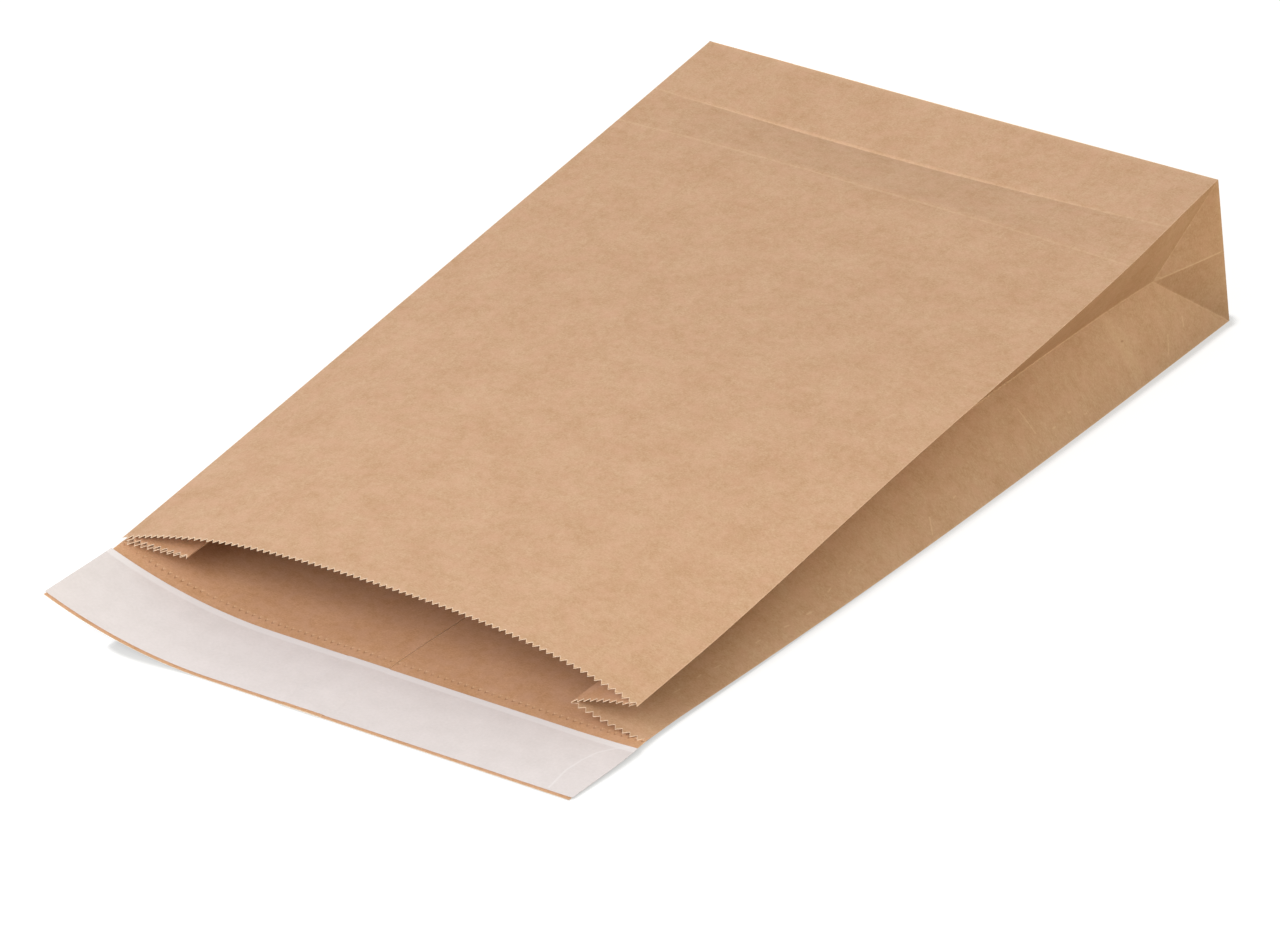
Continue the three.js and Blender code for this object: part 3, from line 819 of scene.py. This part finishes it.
def kraft_material(bag, finish, name, light, dark):
    """Unbleached kraft: soft clouds, short fibres across the web and a dull surface. The face that lay on
    the paper machine's wire is rougher and warmer than the finished one."""
    material, shader = new_material(name)
    tree = material.node_tree
    around, along = pattern_place(tree)
    clouds = noise_value(tree, stretched(tree, around, along, 1.0, 1.0), 0.055, 3.0)
    mottle = noise_value(tree, stretched(tree, around, along, 1.0, 1.0), 0.3, 4.0, 0.75)
    fibres = noise_value(tree, stretched(tree, around, along, 1.0, 1.5), 1.1, 3.0, 0.65, 0.6)
    tone = math_node(
        tree, "MULTIPLY_ADD", clouds, 0.9, math_node(tree, "MULTIPLY_ADD", mottle, 1.5, math_node(
            tree, "MULTIPLY_ADD", fibres, 2.0, -1.7)))
    paper = mix_colour(tree, spread(tree, tone, 0.0, 1.0), (*dark, 1), (*light, 1))
    blush = spread(tree, noise_value(tree, stretched(tree, around, along, 0.14, 0.14), 1.0, 3.0), 0.4, 0.75)
    paper = mix_colour(tree, math_node(tree, "MULTIPLY", blush, 0.5), paper, (*finish.kraft_red, 1))
    specks = spread(tree, noise_value(tree, stretched(tree, around, along, 0.8, 1.2), 1.0, 2.0), 0.74, 0.80)
    paper = mix_colour(tree, math_node(tree, "MULTIPLY", specks, 0.5), paper, (*finish.kraft_fibre, 1))
    # Pale rubbed fibres along folds, creases and the base, which along the folds also stand in as a painted highlight.
    wear_and_highlight = fold_wear_and_highlight(tree, bag, around, along)
    paper = mix_colour(tree, math_node(tree, "MULTIPLY", wear_and_highlight, 0.35), paper, (*finish.kraft_worn, 1))
    place = stretched(tree, around, along, 1.0, 1.0)
    # Painted highlights where small wrinkles of the right gusset catch the light.
    wrinkle_highlights = highest(tree, [dash(tree, place, *mark, 0.45) for mark in GUSSET_WRINKLE_HIGHLIGHTS])
    paper = mix_colour(tree, math_node(tree, "MULTIPLY", wrinkle_highlights, 0.38), paper, (*finish.kraft_worn, 1))
    # A pale band painted across the right gusset's lower layer along the second crease, as the highlight the crease
    # catches.
    crease_highlight = dash(tree, place, (163, 62.3), (139, 62.3), 4.5)
    paper = mix_colour(tree, math_node(tree, "MULTIPLY", crease_highlight, 0.14), paper, (*finish.kraft_worn, 1))
    speck = dash(tree, place, (152, 61.2), (152.1, 61.8), 0.6)
    paper = mix_colour(tree, math_node(tree, "MULTIPLY", speck, 0.7), paper, (*finish.kraft_fibre, 1))
    # Pale fibre ends beside the cut, with a painted highlight along the teeth.
    pale_cut_and_highlight = cut_fibres_and_highlight(tree, bag, around, along)
    paper = mix_colour(tree, math_node(tree, "MULTIPLY", pale_cut_and_highlight, 0.6), paper, (*finish.kraft_cut, 1))
    # The knife's dented spots are painted dark as their shade, and their raised edges pale as a painted highlight.
    dents_and_shadow, rim_highlights = knife_marks(tree, bag, around, along)
    paper = mix_colour(tree, math_node(tree, "MULTIPLY", dents_and_shadow, 0.85), paper, (*finish.kraft_fibre, 1))
    paper = mix_colour(tree, math_node(tree, "MULTIPLY", rim_highlights, 0.6), paper, (*finish.kraft_worn, 1))
    tree.links.new(paper, shader.inputs["Base Color"])
    grain = math_node(tree, "ADD", fibres, math_node(tree, "MULTIPLY", dents_and_shadow, -1.5))
    bump = add_node(tree, "ShaderNodeBump", None, Strength=0.5, Distance=0.00008, Height=grain)
    tree.links.new(bump.outputs[0], shader.inputs["Normal"])
    shader.inputs["Roughness"].default_value = 0.68
    return material


def cut_edge_material(finish):
    """Kraft paper cut across, where the pale ends of its fibres stand up, lightened further as a painted highlight
    along the cut.
    """
    material, shader = new_material("kraft_paper_cut_edge")
    tree = material.node_tree
    around, along = pattern_place(tree)
    fibres = noise_value(tree, stretched(tree, around, along, 1.5, 1.5), 1.0, 3.0)
    edge = mix_colour(tree, spread(tree, fibres, 0.3, 0.7), (*finish.kraft_worn, 1), (*finish.kraft_cut, 1))
    tree.links.new(edge, shader.inputs["Base Color"])
    shader.inputs["Roughness"].default_value = 0.85
    return material


# A soft pale crease near the liner's right end, as points across the flap and from the base in mm.
LINER_CREASE = ((238.6, 430), (236.1, 417), (236.6, 408), (238.3, 401.3), (242.5, 395.8), (247, 393))


def liner_material(bag, strip, finish):
    """Siliconised glassine: smooth and pale, a little greyer where glue lies under it."""
    material, shader = new_material("siliconised_glassine_liner")
    tree = material.node_tree
    around, along = pattern_place(tree)
    clouds = noise_value(tree, stretched(tree, around, along, 1.0, 1.0), 0.09, 4.0, 0.6)
    grain = noise_value(tree, stretched(tree, around, along, 0.8, 0.8), 1.0, 3.0, 0.6)
    tone = math_node(tree, "MULTIPLY_ADD", clouds, 1.2, math_node(tree, "MULTIPLY_ADD", grain, 1.0, -0.6))
    sheet = mix_colour(tree, spread(tree, tone, 0.0, 1.0), (*finish.liner_grey, 1), (*finish.liner, 1))
    glue_start = (bag.length + strip.inset + strip.finger_lift) / MM
    on_glue = spread(tree, along, glue_start - 0.4, glue_start + 0.4)
    sheet = mix_colour(tree, mix_value(tree, on_glue, 0.6, 0.0), sheet, (*finish.liner_edge, 1))
    place = stretched(tree, around, along, 1.0, 1.0)
    curve = highest(tree, [dash(tree, place, *mark, 0.7) for mark in zip(LINER_CREASE, LINER_CREASE[1:])])
    sheet = mix_colour(tree, math_node(tree, "MULTIPLY", curve, 0.6), sheet, (*finish.liner_edge, 1))
    tree.links.new(sheet, shader.inputs["Base Color"])
    bump = add_node(tree, "ShaderNodeBump", None, Strength=0.4, Distance=0.0003, Height=clouds)
    tree.links.new(bump.outputs[0], shader.inputs["Normal"])
    shader.inputs["Roughness"].default_value = 0.42
    return material


def glue_material(finish):
    """Hot-melt adhesive, rolled on warm: clear amber with a soft gloss."""
    material, shader = new_material("hot_melt_adhesive")
    tree = material.node_tree
    around, along = pattern_place(tree)
    ripples = noise_value(tree, stretched(tree, around, along, 0.3, 1.2), 1.0, 2.0)
    film = mix_colour(tree, ripples, (*finish.glue_dark, 1), (*finish.glue, 1))
    tree.links.new(film, shader.inputs["Base Color"])
    shader.inputs["Roughness"].default_value = 0.25
    return material


def open_bag():
    scene = bpy.context.scene
    return OpenBag(scene.bag_pattern, scene.bag_stance)


class BAG_OT_paper_bag(bpy.types.Operator):
    """Folds the kraft paper bag from its flat pattern"""
    bl_idname = "sample_bag.paper_bag"
    bl_label = "Paper Bag"

    def execute(self, context):
        bag = open_bag()
        finish = context.scene.bag_finish
        outer = kraft_material(bag, finish, "kraft_paper_machine_finished", finish.kraft, finish.kraft_dark)
        piece = add_object("kraft_bag", build_bag(bag), outer)
        piece.data.materials.append(kraft_material(
            bag, finish, "kraft_paper_wire_side", finish.kraft_inner, finish.kraft_inner_dark))
        piece.data.materials.append(cut_edge_material(finish))
        give_thickness(piece, bag.pattern["paper"], inner_material=1, edge_material=2)
        finish_piece(piece, "paper_bag")
        return {"FINISHED"}


class BAG_OT_closing_strip(bpy.types.Operator):
    """Lays the glue and its liner on the flap"""
    bl_idname = "sample_bag.closing_strip"
    bl_label = "Closing Strip"

    def execute(self, context):
        bag = open_bag()
        strip = context.scene.bag_strip
        finish = context.scene.bag_finish
        start = bag.length + strip.inset
        end = bag.flap_end - strip.margin
        glue = add_object(
            "glue_strip",
            build_strip(bag, start + strip.finger_lift, end - strip.margin, strip.clearance + strip.layer),
            glue_material(finish))
        give_thickness(glue, strip.layer)
        finish_piece(glue, "adhesive_strip")
        liner = add_object(
            "release_liner_sheet",
            build_strip(bag, start, end, 2 * strip.clearance + 2 * strip.layer, strip.overhang),
            liner_material(bag, strip, finish))
        give_thickness(liner, strip.layer)
        finish_piece(liner, "release_liner")
        return {"FINISHED"}


def studio_world(studio):
    """White surroundings, brighter to the right, with a dim lower half for the light that a floor gives back."""
    world = bpy.data.worlds.new("studio")
    world.use_nodes = True
    tree = world.node_tree
    direction = add_node(tree, "ShaderNodeTexCoord").outputs["Generated"]
    parts = add_node(tree, "ShaderNodeSeparateXYZ", None, i0=direction).outputs
    to_right = math_node(tree, "MAXIMUM", parts[0], 0.0)
    upper = add_node(
        tree, "ShaderNodeVectorMath", {"operation": "MULTIPLY_ADD"}, i0=to_right,
        i1=Vector(studio.side_tint) * studio.side, i2=(studio.sky,) * 3).outputs[0]
    lower = Vector(studio.bounce_tint) * studio.bounce
    above = math_node(tree, "GREATER_THAN", parts[2], 0.0)
    tree.links.new(mix_colour(tree, above, (*lower, 1), upper), tree.nodes["Background"].inputs["Color"])
    return world


def floor_material(studio):
    """A pale floor lit from behind, a little darker where the bag stands close."""
    material, shader = new_material("studio_floor")
    tree = material.node_tree
    open_sky = add_node(tree, "ShaderNodeAmbientOcclusion", None, Distance=studio.shadow_width).outputs["AO"]
    shade = math_node(tree, "MINIMUM", math_node(tree, "SUBTRACT", 1.0, open_sky), 0.13)
    glow = math_node(tree, "MULTIPLY_ADD", shade, -studio.shadow, 1.0)
    tree.links.new(math_node(tree, "MULTIPLY", glow, studio.floor_glow), shader.inputs["Emission Strength"])
    shader.inputs["Emission Color"].default_value = (1, 1, 1, 1)
    shader.inputs["Base Color"].default_value = (*studio.floor, 1)
    shader.inputs["Roughness"].default_value = 0.9
    return material


def flag_material():
    """Black felt, which takes the light that a floor in the bag's own shade would not give back."""
    material, shader = new_material("black_felt")
    tree = material.node_tree
    place = add_node(tree, "ShaderNodeTexCoord").outputs["Object"]
    nap = noise_value(tree, place, 400.0)
    tree.links.new(mix_colour(tree, nap, (0.01, 0.01, 0.01, 1), (0.03, 0.03, 0.03, 1)), shader.inputs["Base Color"])
    shader.inputs["Roughness"].default_value = 1.0
    return material


class BAG_OT_studio(bpy.types.Operator):
    """Makes the floor, the light and the camera"""
    bl_idname = "sample_bag.studio"
    bl_label = "Studio"

    def execute(self, context):
        scene = context.scene
        studio = scene.bag_studio
        scene.view_settings.view_transform = "Standard"
        mesh = bmesh.new()
        bmesh.ops.create_grid(mesh, x_segments=8, y_segments=8, size=12)
        bmesh.ops.translate(mesh, verts=mesh.verts, vec=(0, 0, -0.05 * MM))
        floor = add_object("studio_floor", mesh, floor_material(studio))
        floor.visible_diffuse = False
        floor.visible_glossy = False
        floor.visible_shadow = False
        mesh = bmesh.new()
        bmesh.ops.create_grid(mesh, x_segments=1, y_segments=1, size=0.5)
        low, high = cad_box
        reach = 2 * studio.flag_reach
        bmesh.ops.scale(mesh, verts=mesh.verts, vec=(high[0] - low[0] + reach, high[1] - low[1] + reach, 1))
        bmesh.ops.translate(mesh, verts=mesh.verts, vec=(0, 0, -0.1 * MM))
        flag = add_object("floor_flag", mesh, flag_material())
        flag.visible_camera = False
        flag.visible_shadow = False
        flag.visible_glossy = False
        scene.world = studio_world(studio)
        light = bpy.data.lights.new("key", "AREA")
        light.shape = "DISK"
        light.size = 1.6
        light.energy = studio.key
        key = bpy.data.objects.new("key", light)
        key.location = (-0.45, -1.35, 0.9)
        key.rotation_euler = (Vector((0, 0, 0)) - Vector(key.location)).to_track_quat("-Z", "Y").to_euler()
        scene.collection.objects.link(key)
        camera_data = bpy.data.cameras.new("camera")
        camera_data.lens = 246.631
        camera_data.sensor_width = 36
        camera_data.clip_start = 0.05
        camera = bpy.data.objects.new("camera", camera_data)
        turn = Matrix.Rotation(0.67358, 4, "Z") @ Matrix.Rotation(1.07074, 4, "X") @ Matrix.Rotation(-0.06961, 4, "Z")
        camera.matrix_world = Matrix.Translation((1.86417, -2.34312, 1.63532)) @ turn
        scene.collection.objects.link(camera)
        scene.camera = camera
        return {"FINISHED"}


class BAG_PT_sidebar(bpy.types.Panel):
    """Lists the operators that build the bag"""
    bl_label = "Sample Bag"
    bl_idname = "BAG_PT_sidebar"
    bl_space_type = "VIEW_3D"
    bl_region_type = "UI"
    bl_category = "Sample Bag"

    def draw(self, context):
        for operator in OPERATORS:
            self.layout.operator(operator.bl_idname)


OPERATORS = (BAG_OT_paper_bag, BAG_OT_closing_strip, BAG_OT_studio)
GROUPS = {
    "bag_pattern": PatternSizes,
    "bag_strip": StripSizes,
    "bag_stance": StanceSizes,
    "bag_finish": FinishColours,
    "bag_studio": StudioSettings,
}


def register():
    for group in (*GROUPS.values(), *OPERATORS, BAG_PT_sidebar):
        bpy.utils.register_class(group)
    for name, group in GROUPS.items():
        setattr(bpy.types.Scene, name, PointerProperty(type=group))


def unregister():
    for name in GROUPS:
        delattr(bpy.types.Scene, name)
    for group in reversed((*GROUPS.values(), *OPERATORS, BAG_PT_sidebar)):
        bpy.utils.unregister_class(group)


def main():
    register()
    bpy.ops.sample_bag.paper_bag()
    bpy.ops.sample_bag.closing_strip()
    bpy.ops.sample_bag.studio()


if __name__ == "__main__":
    main()
